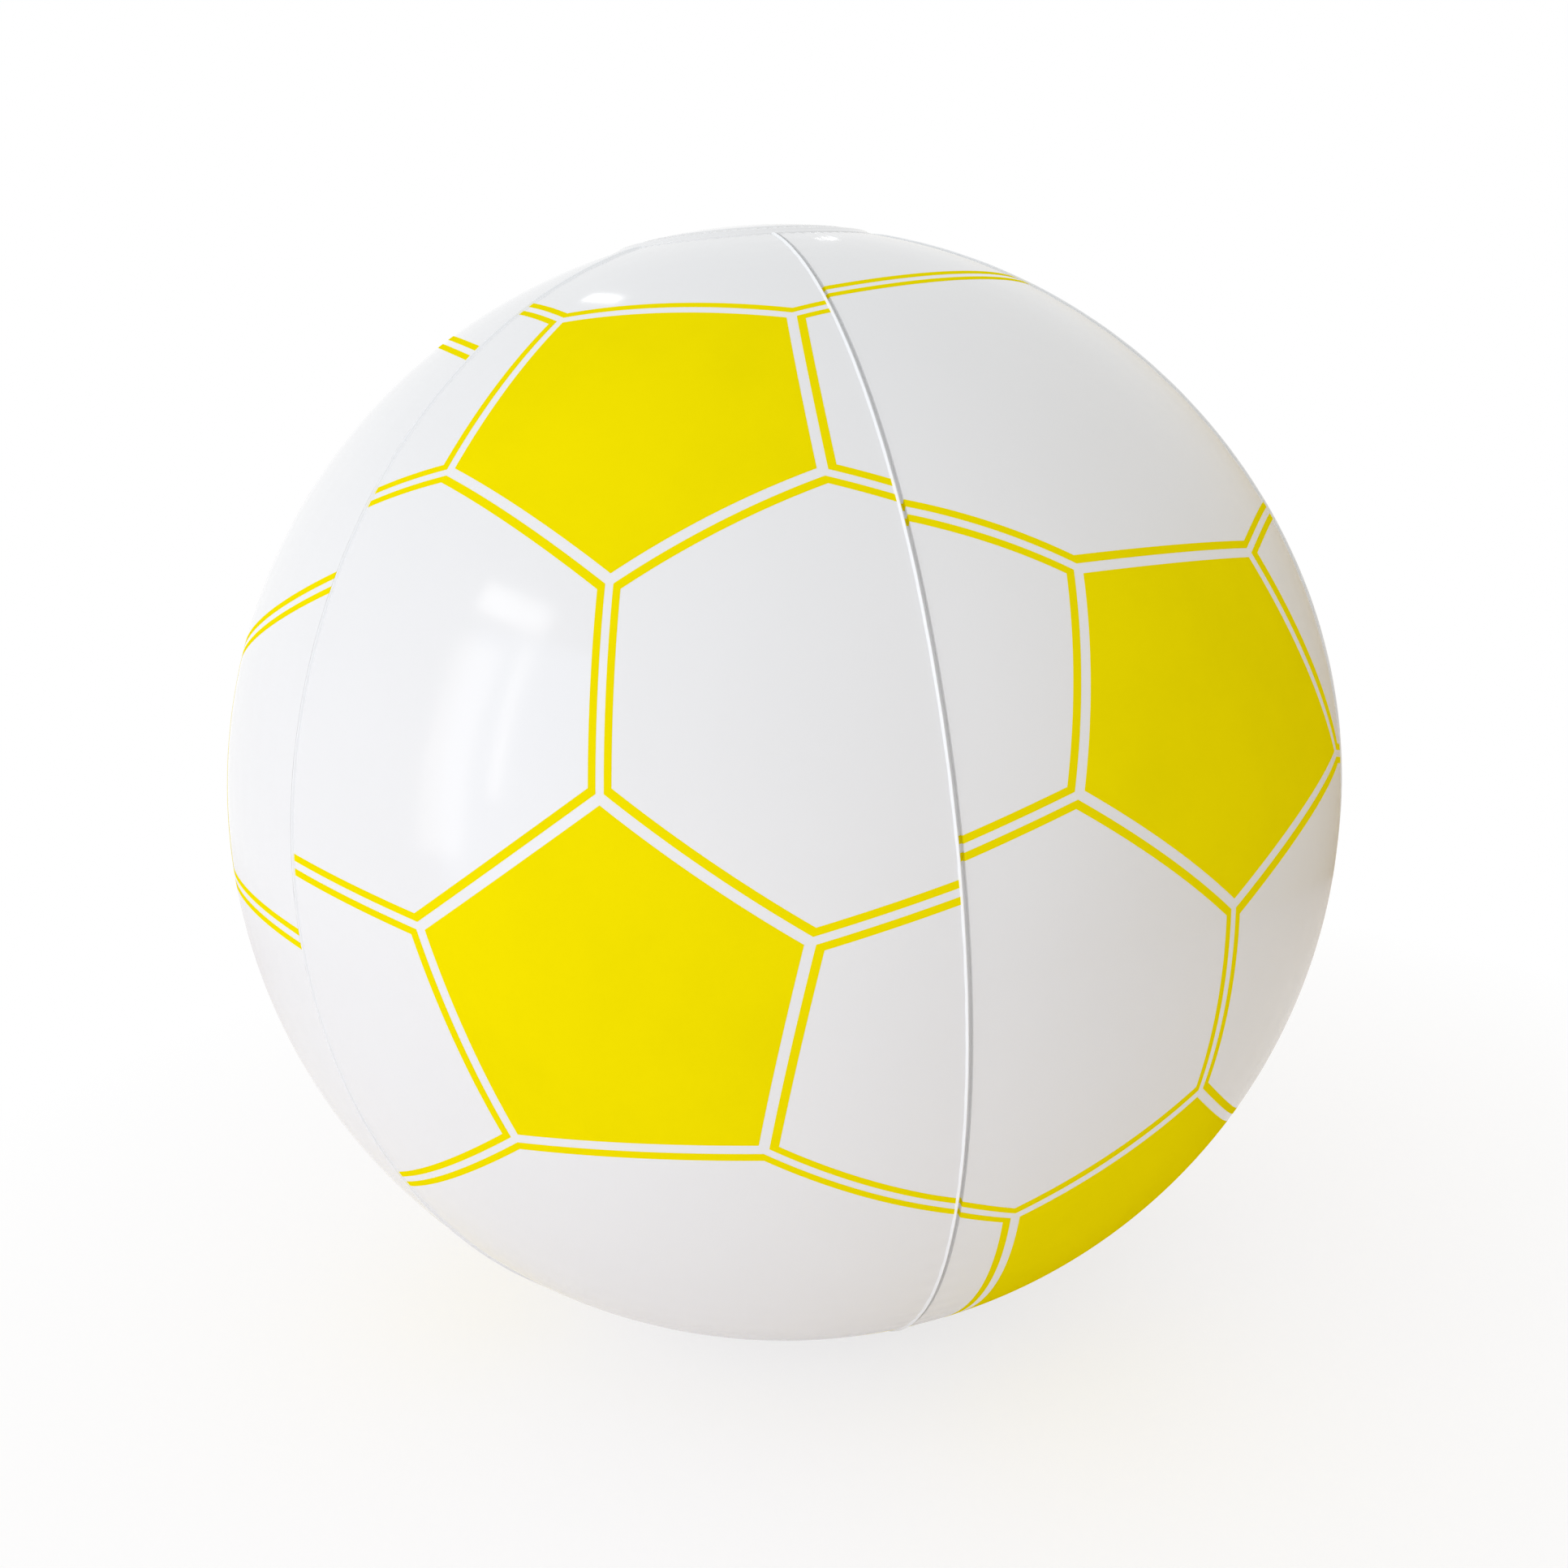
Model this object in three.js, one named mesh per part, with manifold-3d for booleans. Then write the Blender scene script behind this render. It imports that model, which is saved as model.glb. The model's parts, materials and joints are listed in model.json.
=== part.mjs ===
// Inflatable beach ball: film panels welded along raised beads, a round end cap over each pole, and an
// inflation valve on the rear panel. Millimetres, +Z up. The origin is the middle of the flat patch that
// the ball rests on, the poles are above it, and the front panel faces -Y.

import * as THREE from 'three';
import { mergeVertices } from 'three/addons/utils/BufferGeometryUtils.js';
import Module from 'manifold-3d';

const wasm = await Module();
wasm.setup();

// Ball
const BALL_RADIUS = 150; // to the film's outer face
const FILM_THICKNESS = 0.25;
const PANEL_COUNT = 6;
const GAP = 0.3; // clearance between neighbouring pieces

// Weld bead along each seam
const BEAD_WIDTH = 1.5;
const BEAD_CROWN_WIDTH = 0.8;
const BEAD_HEIGHT = 0.7; // above the film's outer face
const BEAD_SHOULDER = 0.3; // height of its upright sides above the film
const BEAD_ROOT = 0.6; // below the film's outer face

// End caps, and the flat patch that the weight presses into the lower one
const CAP_RADIUS = 35;
const CAP_THICKNESS = 0.5;
const REST_PATCH_RADIUS = 16;
const TIP_MARGIN = 1.5; // the panels' tips stop this far outside the patch

// Valve on the rear panel
const VALVE_PANEL = 4;
const VALVE_LATITUDE = 44; // degrees above the equator
const FLANGE_RADIUS = 12.5;
const FLANGE_THICKNESS = 1;
const COLLAR_WALL = 1.6;
const COLLAR_DEPTH = 6; // below the film's outer face
const STEM_RADIUS = 5;
const STEM_BORE_RADIUS = 3;
const STEM_TRAVEL = 9; // from pushed in to pulled out
const RIM_OVERHANG = 1.6; // rim and foot reach this far out from the stem
const RIM_THICKNESS = 0.8;
const FOOT_THICKNESS = 1.2;
const PLUG_RADIUS = 6;
const PLUG_THICKNESS = 1.5;
const PIN_LENGTH = 3.2; // below the stem's mouth
const PIN_TAPER = 0.5; // radius lost towards the tip
const TAB_LENGTH = 4;
const TAB_WIDTH = 5;
const TAB_THICKNESS = 1;
const STRAP_WIDTH = 4;
const STRAP_THICKNESS = 0.7;
const HINGE_REACH = 2.5; // from the stem's rim to the strap's fold
const FLAP_LAP = 1.4; // the check flap covers this much round the bore
const FLAP_THICKNESS = 0.4;

// Facets
const PANEL_STEPS = 8; // across a panel
const ARC_STEPS = 24; // along a panel, and along a bead
const CAP_STEPS = 48; // round a cap
const CAP_ARC_STEPS = 5; // from a cap's middle to its rim
const VALVE_STEPS = 24; // round the valve's pieces
const FLANGE_ARC_STEPS = 3; // across the flange

// Modelling
const CUTTER_REACH = 3 * BALL_RADIUS; // cutting solids run past what they cut
const MERGE_DISTANCE = 1e-5; // points closer than this are one point

// Colours and finishes
const WHITE_FILM = 0xeef0f2;
const WELD_WHITE = 0xf6f7f8;
const VALVE_WHITE = 0xe9ebea;
const FILM_ROUGHNESS = 0.25;
const WELD_ROUGHNESS = 0.3;
const VALVE_ROUGHNESS = 0.4;

// Sizes that follow from the ones above
const panelAngle = (2 * Math.PI) / PANEL_COUNT;
const innerRadius = BALL_RADIUS - FILM_THICKNESS;
const tipRadius = REST_PATCH_RADIUS + TIP_MARGIN;
const capInner = BALL_RADIUS + GAP;
const capOuter = capInner + CAP_THICKNESS;
const capAngle = Math.asin(CAP_RADIUS / capInner);
const seatHeight = Math.sqrt(capOuter ** 2 - REST_PATCH_RADIUS ** 2); // from the patch to the ball's middle
const collarBore = STEM_RADIUS + GAP;
const collarRadius = collarBore + COLLAR_WALL;
const valveHole = collarRadius + GAP;
const rimRadius = STEM_RADIUS + RIM_OVERHANG;
const hingeReach = rimRadius + HINGE_REACH;

// Heights in the valve's own frame, where 0 is the film's outer face on the valve's axis
const filmDrop = (reach) => BALL_RADIUS - Math.sqrt(BALL_RADIUS ** 2 - reach ** 2);
const collarTop = GAP + FLANGE_THICKNESS - filmDrop(valveHole);
const rimBottom = collarTop + GAP;
const rimTop = rimBottom + RIM_THICKNESS;
const plugBottom = rimTop + GAP;
const footTop = -COLLAR_DEPTH - STEM_TRAVEL - GAP;
const footBottom = footTop - FOOT_THICKNESS;
const flapTop = footBottom - GAP;

// A closed geometry as a solid for joins and cuts, with triangles that have no area left out
function solidOf(geometry) {
  const bare = geometry.clone();
  bare.deleteAttribute('normal');
  bare.deleteAttribute('uv');
  const merged = mergeVertices(bare, MERGE_DISTANCE);
  const corners = merged.index.array;
  const triangles = [];
  for (let i = 0; i < corners.length; i += 3) {
    const [a, b, c] = corners.slice(i, i + 3);
    if (a !== b && b !== c && c !== a) triangles.push(a, b, c);
  }
  const vertProperties = new Float32Array(merged.attributes.position.array);
  return new wasm.Manifold(new wasm.Mesh({ numProp: 3, vertProperties, triVerts: new Uint32Array(triangles) }));
}

function geometryOf(solid) {
  const { vertProperties, triVerts } = solid.getMesh();
  const geometry = new THREE.BufferGeometry();
  geometry.setAttribute('position', new THREE.BufferAttribute(vertProperties, 3));
  geometry.setIndex(new THREE.BufferAttribute(triVerts, 1));
  geometry.computeVertexNormals();
  return geometry;
}

const unite = (first, second) => geometryOf(solidOf(first).add(solidOf(second)));
const subtract = (first, second) => geometryOf(solidOf(first).subtract(solidOf(second)));
const intersect = (first, second) => geometryOf(solidOf(first).intersect(solidOf(second)));

// A profile of [distance from the axis, height] points, turned about Z with its first facet edge at -Y
function turned(profile, steps) {
  const points = profile.map(([x, y]) => new THREE.Vector2(x, y));
  return new THREE.LatheGeometry(points, steps).rotateX(Math.PI / 2);
}

// Points of an arc about the origin, from one angle off the upper pole to another
function arc(radius, from, to, steps) {
  return Array.from({ length: steps + 1 }, (_, i) => {
    const angle = from + ((to - from) * i) / steps;
    return [radius * Math.sin(angle), radius * Math.cos(angle)];
  });
}

function box(x0, x1, y0, y1, z0, z1) {
  const geometry = new THREE.BoxGeometry(x1 - x0, y1 - y0, z1 - z0);
  return geometry.translate((x0 + x1) / 2, (y0 + y1) / 2, (z0 + z1) / 2);
}

// A long round bar along the valve's axis, for cutting
function roundCutter(radius) {
  return new THREE.CylinderGeometry(radius, radius, CUTTER_REACH, VALVE_STEPS).rotateX(Math.PI / 2);
}

function named(name, geometry, color, roughness) {
  const material = new THREE.MeshStandardMaterial({ color, roughness, metalness: 0 });
  const mesh = new THREE.Mesh(geometry, material);
  mesh.name = name;
  return mesh;
}

const film = (name, geometry) => named(name, geometry, WHITE_FILM, FILM_ROUGHNESS);
const weld = (name, geometry) => named(name, geometry, WELD_WHITE, WELD_ROUGHNESS);
const moulded = (name, geometry) => named(name, geometry, VALVE_WHITE, VALVE_ROUGHNESS);

// One film panel, facing -Y: a slice of the whole shell, with room for half a bead along each edge
function panelGeometry() {
  const outer = arc(
    BALL_RADIUS,
    Math.PI - Math.asin(tipRadius / BALL_RADIUS),
    Math.asin(tipRadius / BALL_RADIUS),
    ARC_STEPS,
  );
  const inner = arc(
    innerRadius,
    Math.asin(tipRadius / innerRadius),
    Math.PI - Math.asin(tipRadius / innerRadius),
    ARC_STEPS,
  );
  const shell = turned([...outer, ...inner, outer[0]], PANEL_COUNT * PANEL_STEPS);
  const half = panelAngle / 2;
  const apex = -(BEAD_WIDTH / 2 + GAP) / Math.sin(half);
  const across = CUTTER_REACH * Math.sin(half);
  const out = apex - CUTTER_REACH * Math.cos(half);
  const slice = new THREE.Shape([
    new THREE.Vector2(0, apex),
    new THREE.Vector2(-across, out),
    new THREE.Vector2(across, out),
  ]);
  const wedge = new THREE.ExtrudeGeometry(slice, { depth: CUTTER_REACH, bevelEnabled: false });
  return intersect(shell, wedge.translate(0, 0, -CUTTER_REACH / 2));
}

// The meridian that a bead follows, at -Y, from the rim of one end cap to the rim of the other
class SeamCurve extends THREE.Curve {
  getPoint(t, target = new THREE.Vector3()) {
    const start = capAngle + GAP / BALL_RADIUS;
    const angle = start + t * (Math.PI - 2 * start);
    return target.set(0, -BALL_RADIUS * Math.sin(angle), BALL_RADIUS * Math.cos(angle));
  }
}

function beadGeometry() {
  const half = BEAD_WIDTH / 2;
  const crown = BEAD_CROWN_WIDTH / 2;
  const section = new THREE.Shape([
    new THREE.Vector2(-half, BEAD_ROOT),
    new THREE.Vector2(-half, -BEAD_SHOULDER),
    new THREE.Vector2(-crown, -BEAD_HEIGHT),
    new THREE.Vector2(crown, -BEAD_HEIGHT),
    new THREE.Vector2(half, -BEAD_SHOULDER),
    new THREE.Vector2(half, BEAD_ROOT),
  ]);
  return new THREE.ExtrudeGeometry(section, { steps: ARC_STEPS, extrudePath: new SeamCurve() });
}

function upperCapGeometry() {
  const under = arc(capInner, 0, capAngle, CAP_ARC_STEPS);
  const over = arc(capOuter, capAngle, 0, CAP_ARC_STEPS);
  return turned([...under, ...over], CAP_STEPS);
}

// The lower cap is pressed flat over the patch that the ball rests on
function lowerCapGeometry() {
  const patchOver = Math.PI - Math.asin(REST_PATCH_RADIUS / capOuter);
  const patchUnder = Math.PI - Math.asin(REST_PATCH_RADIUS / capInner);
  const rim = Math.PI - capAngle;
  const outside = arc(capOuter, patchOver, rim, CAP_ARC_STEPS);
  const inside = arc(capInner, rim, patchUnder, CAP_ARC_STEPS);
  const flatOver = [0, capOuter * Math.cos(patchOver)];
  const flatUnder = [0, capInner * Math.cos(patchUnder)];
  return turned([flatOver, ...outside, ...inside, flatUnder], CAP_STEPS);
}

// The flange follows the film, one clearance above it
function flangeGeometry() {
  const band = (radius, from, to) =>
    arc(radius, Math.asin(from / radius), Math.asin(to / radius), FLANGE_ARC_STEPS).map(([x, y]) => [
      x,
      y - BALL_RADIUS,
    ]);
  const under = band(BALL_RADIUS + GAP, valveHole, FLANGE_RADIUS);
  const over = band(BALL_RADIUS + GAP + FLANGE_THICKNESS, FLANGE_RADIUS, valveHole);
  return turned([...under, ...over, under[0]], VALVE_STEPS);
}

function collarGeometry() {
  const profile = [
    [collarBore, -COLLAR_DEPTH],
    [collarRadius, -COLLAR_DEPTH],
    [collarRadius, collarTop],
    [collarBore, collarTop],
    [collarBore, -COLLAR_DEPTH],
  ];
  return turned(profile, VALVE_STEPS);
}

// The stem has a rim that stops on the collar, a foot that stops under it, and a tongue for the strap
function stemGeometry() {
  const profile = [
    [STEM_BORE_RADIUS, footBottom],
    [rimRadius, footBottom],
    [rimRadius, footTop],
    [STEM_RADIUS, footTop],
    [STEM_RADIUS, rimBottom],
    [rimRadius, rimBottom],
    [rimRadius, rimTop],
    [STEM_BORE_RADIUS, rimTop],
    [STEM_BORE_RADIUS, footBottom],
  ];
  const half = STRAP_WIDTH / 2;
  const tongue = box(-half, half, -(hingeReach - GAP), -STEM_RADIUS, rimBottom, rimTop);
  return unite(turned(profile, VALVE_STEPS), tongue);
}

function plugGeometry() {
  const root = STEM_BORE_RADIUS - GAP;
  const profile = [
    [0, rimTop - PIN_LENGTH],
    [root - PIN_TAPER, rimTop - PIN_LENGTH],
    [root, plugBottom],
    [PLUG_RADIUS, plugBottom],
    [PLUG_RADIUS, plugBottom + PLUG_THICKNESS],
    [0, plugBottom + PLUG_THICKNESS],
  ];
  const half = TAB_WIDTH / 2;
  const tabTop = plugBottom + TAB_THICKNESS;
  const tab = box(-half, half, STEM_BORE_RADIUS, PLUG_RADIUS + TAB_LENGTH, plugBottom, tabTop);
  return unite(turned(profile, VALVE_STEPS), tab);
}

// The strap runs from the plug's edge to the fold over the end of the stem's tongue
function strapGeometry() {
  const half = STRAP_WIDTH / 2;
  const strip = box(-half, half, -hingeReach, 0, plugBottom, plugBottom + STRAP_THICKNESS);
  return subtract(strip, roundCutter(PLUG_RADIUS + GAP));
}

function flapGeometry() {
  const radius = STEM_BORE_RADIUS + FLAP_LAP;
  const profile = [
    [0, flapTop - FLAP_THICKNESS],
    [radius, flapTop - FLAP_THICKNESS],
    [radius, flapTop],
    [0, flapTop],
  ];
  return turned(profile, VALVE_STEPS);
}

// The valve's place on a panel that faces -Y: its own Z points out of the film and its Y to the upper pole
function valveGroup() {
  const latitude = THREE.MathUtils.degToRad(VALVE_LATITUDE);
  const group = new THREE.Group();
  group.position.set(0, -BALL_RADIUS * Math.cos(latitude), BALL_RADIUS * Math.sin(latitude));
  group.rotation.x = Math.PI / 2 - latitude;
  group.updateMatrix();
  return group;
}

const beachBall = new THREE.Group();
const ball = new THREE.Group();
ball.position.z = seatHeight;
beachBall.add(ball);

const valve = valveGroup();
const plainPanel = panelGeometry();
const valvePanel = subtract(plainPanel, roundCutter(valveHole).applyMatrix4(valve.matrix));
const bead = beadGeometry();

for (let i = 0; i < PANEL_COUNT; i += 1) {
  const number = i + 1;
  const panel = film(`panel_${number}`, number === VALVE_PANEL ? valvePanel : plainPanel);
  panel.rotation.z = i * panelAngle;
  const seam = weld(`weld_bead_${number}`, bead);
  seam.rotation.z = (i + 0.5) * panelAngle;
  ball.add(panel, seam);
}

ball.add(film('end_cap_upper', upperCapGeometry()), film('end_cap_lower', lowerCapGeometry()));

const valveSite = new THREE.Group();
valveSite.rotation.z = (VALVE_PANEL - 1) * panelAngle;
valveSite.add(valve);
ball.add(valveSite);
valve.add(
  moulded('valve_flange', flangeGeometry()),
  moulded('valve_collar', collarGeometry()),
  moulded('valve_stem', stemGeometry()),
  moulded('valve_plug', plugGeometry()),
  moulded('valve_strap', strapGeometry()),
  moulded('valve_flap', flapGeometry()),
);

export default beachBall;
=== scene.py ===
"""Beach ball of printed film panels, weld beads, end caps and a valve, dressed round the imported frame."""

import json
import math

import bmesh
import bpy
from mathutils import Matrix, Vector, noise

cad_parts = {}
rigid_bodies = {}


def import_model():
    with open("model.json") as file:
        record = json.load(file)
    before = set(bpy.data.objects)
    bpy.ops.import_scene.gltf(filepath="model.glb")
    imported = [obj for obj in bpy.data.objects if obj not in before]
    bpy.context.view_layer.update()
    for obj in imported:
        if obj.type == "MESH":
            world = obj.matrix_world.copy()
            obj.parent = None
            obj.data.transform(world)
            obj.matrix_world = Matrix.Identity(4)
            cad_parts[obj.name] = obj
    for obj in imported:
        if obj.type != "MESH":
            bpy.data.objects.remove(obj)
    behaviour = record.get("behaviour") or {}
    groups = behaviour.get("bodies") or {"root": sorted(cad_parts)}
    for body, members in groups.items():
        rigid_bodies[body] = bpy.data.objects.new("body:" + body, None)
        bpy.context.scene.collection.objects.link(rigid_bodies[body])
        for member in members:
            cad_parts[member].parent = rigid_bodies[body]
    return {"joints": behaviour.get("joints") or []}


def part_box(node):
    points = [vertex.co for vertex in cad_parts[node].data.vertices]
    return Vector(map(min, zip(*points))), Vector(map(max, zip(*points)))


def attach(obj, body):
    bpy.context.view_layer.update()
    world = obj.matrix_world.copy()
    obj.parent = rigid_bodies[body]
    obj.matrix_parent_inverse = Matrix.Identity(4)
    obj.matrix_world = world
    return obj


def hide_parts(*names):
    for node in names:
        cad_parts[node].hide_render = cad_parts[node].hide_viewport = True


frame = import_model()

bl_info = {
    "name": "Beach Ball",
    "version": (1, 0, 0),
    "blender": (4, 5, 0),
    "location": "3D View > Sidebar > Beach Ball",
    "description": "Builds a printed film beach ball with weld beads, end caps and a push-in valve",
    "category": "Object",
}

MM = 0.001

# Places that come from the frame
PANEL_LOW, PANEL_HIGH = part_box("panel_1")
BALL_RADIUS = -PANEL_LOW.y
BALL_CENTRE = Vector((0, 0, (PANEL_LOW.z + PANEL_HIGH.z) / 2))
PANEL_COUNT = 6
PANEL_TURN = math.tau / PANEL_COUNT
VALVE_PANEL = 4
VALVE_OUT = Vector(next(j["axis"] for j in frame["joints"] if j["name"] == "stem_slide")).normalized()

# Modelling
MERGE_DISTANCE = 1e-6
CUT_TOLERANCE = 1e-7
SMOOTH_ANGLE = math.radians(35)
SKIN_SEGMENTS = 360
SKIN_RINGS = 360
BEAD_STEPS = 220
CAP_STEPS = 144
VALVE_STEPS = 96
BAR_STEPS = 32
FLOOR_SIZE = 40
WHITE = (1, 1, 1, 1)

# Film
SEAM_MARGIN = 0.2 * MM  # the film's edges stop this far from the seam's plane, under the bead
TIP_RADIUS = 17.5 * MM  # the panels' tips are cut off at this distance from the poles' axis
GROOVE_DEPTH = 1.0 * MM  # the panels with even numbers fold down beside the bead
GROOVE_FLOOR = 0.76 * MM  # the fold is full this far from the seam's plane
GROOVE_START = 0.86 * MM  # and begins this far from it
GROOVE_AT_CAP = 0.3  # the share of its depth that it has at the end caps
GROOVE_FADE = 6 * MM  # it is full this far from them
# Extra rows of points along each seam, mm from its plane
SEAM_ROWS = (0.45, 0.62, 0.76, 0.785, 0.81, 0.835, 0.86, 0.95, 1.1, 1.6, 2.5, 3.6, 5.0, 7.0, 9.5)
PUCKER_PEAK = 1.8 * MM  # the puckers are highest this far from the seam
PUCKER_PITCH = 9 * MM  # from one pucker to the next
PUCKER_WANDER = 30 * MM  # their places wander over this length
PUCKER_STRENGTH = 0.6  # their mean height, and how far it wanders
STRENGTH_WANDER = 0.7  # how fast their height wanders, against their places
PANEL_SEED = 7.3  # steps through the noise, from panel to panel and from side to side
SIDE_SEED = 3.1
GATHER_COUNT = 84  # small folds round each end cap
GATHER_HEIGHT = 1.2  # against the height of the puckers
GATHER_WANDER = 2
GATHER_FADE = 5 * MM
INK_MARGIN = 0.22 * MM  # the ink stops this far from the seam's plane, at the bead's foot or in the fold
INK_ROOT = 0.25  # the ink's sheet reaches into the film by this share of its height
VALVE_HOLE_RADIUS = 6.6 * MM
VALVE_HOLE_REACH = 20 * MM  # the hole's cutter reaches this far to both sides of the film

# Print: corners as (degrees to the right of the panel's middle, degrees above the equator). The pole end of
# the print has the large pentagon, and the belt has the other. r and l are points on the lines that run
# out to the right and left seams, and far is the single double line near the other pole.
FRONT_PRINT = {
    "pole_outer_left": (-15.4, 58.5),
    "pole_outer_right": (23.7, 56.1),
    "pole_right": (23.4, 38.1),
    "pole_inner": (3.3, 30.0),
    "pole_left": (-18.4, 40.4),
    "belt_inner": (3.0, 13.7),
    "belt_right": (18.4, 2.2),
    "belt_outer_right": (13.4, -15.6),
    "belt_outer_left": (-8.4, -15.6),
    "belt_left": (-13.8, 3.0),
    "r1": (30.0, 57.1),
    "r2": (30.0, 35.8),
    "r3": (30.0, 4.7),
    "r4": (30.0, -24.6),
    "l1": (-30.0, 61.6),
    "l2": (-30.0, 38.0),
    "l3": (-30.0, 6.0),
    "l4": (-30.0, -26.8),
    "far_left": (-30.0, -57.5),
    "far_middle": (0.0, -60.0),
    "far_right": (30.0, -57.5),
}
# The half-turned print as it shows on the right panel, and the corners of it that show on the left panel
RIGHT_PANEL = 2
LEFT_PANEL = 6
RIGHT_PRINT = {
    "belt_inner": (-3.8, -2.1),
    "belt_right": (-19.7, 10.4),
    "belt_outer_right": (-14.7, 27.7),
    "belt_outer_left": (11.2, 26.0),
    "belt_left": (22.0, 5.0),
    "pole_inner": (-3.9, -20.0),
    "pole_right": (-23.8, -27.8),
    "pole_left": (17.9, -33.1),
    "pole_outer_right": (-19.7, -57.5),
    "pole_outer_left": (16.5, -55.0),
    "r1": (-30.0, -57.5),
    "r2": (-30.0, -24.9),
    "r3": (-30.0, 7.8),
    "r4": (-30.0, 34.2),
    "l1": (30.0, -57.5),
    "l2": (30.0, -31.0),
    "l3": (30.0, 3.0),
    "l4": (26.0, 28.3),
    "far_right": (-30.0, 59.4),
    "far_middle": (-6.0, 61.3),
    "far_left": (27.0, 61.2),
}
LEFT_PRINT_SEEN = {
    "pole_left": (12.3, -39.0),
    "pole_outer_left": (9.1, -57.0),
    "l2": (30.0, -43.5),
    "belt_outer_left": (2.2, 21.3),
    "belt_left": (7.8, 0.1),
    "l3": (30.0, -0.8),
    "l4": (30.0, 30.2),
    "far_left": (30.0, 54.6),
    "far_middle": (17.5, 56.6),
    "far_right": (5.3, 57.7),
}
# Outlines with the white hexagon on the left of the way round
HEXAGON_LINES = (
    ("l1", "pole_outer_left", "pole_outer_right", "r1"),
    ("r1", "pole_outer_right", "pole_right", "r2"),
    ("r2", "pole_right", "pole_inner", "belt_inner", "belt_right", "r3"),
    ("r3", "belt_right", "belt_outer_right", "r4"),
    ("r4", "belt_outer_right", "belt_outer_left", "l4"),
    ("l4", "belt_outer_left", "belt_left", "l3"),
    ("l3", "belt_left", "belt_inner", "pole_inner", "pole_left", "l2"),
    ("l2", "pole_left", "pole_outer_left", "l1"),
)
FAR_LINE = ("far_left", "far_middle", "far_right")
PENTAGONS = (
    ("pole_outer_left", "pole_left", "pole_inner", "pole_right", "pole_outer_right"),
    ("belt_inner", "belt_left", "belt_outer_left", "belt_outer_right", "belt_right"),
)
# How far the prints are slipped to the right and up, in degrees
HALF_TURN_SLIP = {4: (1.5, 5.0), 6: (-6.0, 4.3)}
FRONT_SLIP = {1: (0.0, 0.0), 3: (-2.0, -4.0), 5: (1.0, -6.5)}
# Edges that are straight on the flat film bow on the blown-up ball. The middle of a pentagon's edge moves
# this many mm into it as a rule. On the panels that can be seen, some edges have their own bow, in mm to the
# left of the way between their corners.
PENTAGON_EDGES = {(names[place - 1], name) for names in PENTAGONS for place, name in enumerate(names)}
PENTAGON_BOW = 0.5
EDGE_BOW = {
    1: {
        ("pole_outer_right", "pole_outer_left"): 1.0,
        ("belt_outer_left", "belt_outer_right"): 1.4,
        ("belt_outer_right", "r4"): -0.5,
        ("belt_left", "l3"): -0.5,
    },
    RIGHT_PANEL: {
        ("belt_inner", "belt_left"): 3.6,
        ("belt_left", "belt_outer_left"): 3.4,
        ("belt_outer_left", "belt_outer_right"): 0.8,
        ("belt_outer_left", "l4"): 0.9,
        ("belt_outer_right", "r4"): -0.6,
        ("pole_left", "pole_inner"): 1.0,
        ("pole_inner", "pole_right"): -0.6,
    },
    LEFT_PANEL: {
        ("belt_outer_left", "l4"): -1.8,
        ("belt_left", "l3"): 1.4,
    },
}
# How many times the usual gap and line width the edges of a pentagon have, and some edges of the right panel,
# whose print is stretched
PENTAGON_STRETCH = (1.0, 1.17)
EDGE_STRETCH = {
    ("belt_left", "belt_outer_left"): (1.2, 2.1),
    ("belt_inner", "belt_left"): (1.0, 1.45),
    ("pole_inner", "pole_right"): (1.0, 1.35),
}

# Camera, as the photograph was taken
CAMERA_DISTANCE = 0.45
CAMERA_ELEVATION = math.radians(14.0)
CAMERA_AZIMUTH = math.radians(17.19)
CAMERA_ROLL = math.radians(4.34)
CAMERA_LENS = 36.15
CAMERA_SENSOR = 36.0
CAMERA_CLIP = 0.01


def length_property(name, description, millimetres):
    return bpy.props.FloatProperty(
        name=name, description=description, default=millimetres * MM, unit="LENGTH")


def colour_property(name, description, value):
    return bpy.props.FloatVectorProperty(
        name=name, description=description, default=value, subtype="COLOR", min=0, max=1)


class BeachBallSizes(bpy.types.PropertyGroup):
    """Sizes of the film, its seams and its print"""

    film_thickness: length_property("Film", "Thickness of the film", 0.25)
    pucker_height: length_property("Puckers", "Height of the puckers beside a seam", 0.05)
    bead_width: length_property("Bead width", "Width of a weld bead at its foot", 1.5)
    bead_height: length_property("Bead height", "Height of a weld bead above the film", 0.5)
    cap_radius: length_property("Cap", "Radius of an end cap", 35)
    line_width: length_property("Printed line", "Width of a printed line", 1.58)
    line_gap: length_property("Line gap", "White gap between two printed lines", 1.7)
    pentagon_gap: length_property("Pentagon gap", "White gap round a printed pentagon", 2.25)
    ink_height: length_property("Ink", "Height of the ink above the film", 0.04)


class BeachBallColours(bpy.types.PropertyGroup):
    """Colours of the ball's finishes"""

    film: colour_property("Film", "White film", (0.84, 0.84, 0.84))
    ink: colour_property("Ink", "Yellow ink", (0.9, 0.755, 0.0005))
    weld: colour_property("Weld", "Bare film squeezed out of a seam", (0.92, 0.925, 0.93))
    valve: colour_property("Valve", "Milky moulding of the valve", (0.8, 0.82, 0.82))


# Selecting and modelling


def only(piece):
    """Leave one object selected and active."""
    active = bpy.context.view_layer.objects.active
    if active and active.mode != "OBJECT":
        bpy.ops.object.mode_set(mode="OBJECT")
    bpy.ops.object.select_all(action="DESELECT")
    if piece:
        piece.select_set(True)
        bpy.context.view_layer.objects.active = piece


def edit(piece):
    """Open a piece in edit mode with all of it selected."""
    only(piece)
    bpy.ops.object.mode_set(mode="EDIT")
    bpy.ops.mesh.select_all(action="SELECT")


def leave_edit():
    bpy.ops.object.mode_set(mode="OBJECT")


def added(name):
    """The object that the last operator added, under its own name."""
    piece = bpy.context.view_layer.objects.active
    piece.name = name
    piece.data.name = name
    return piece


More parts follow.
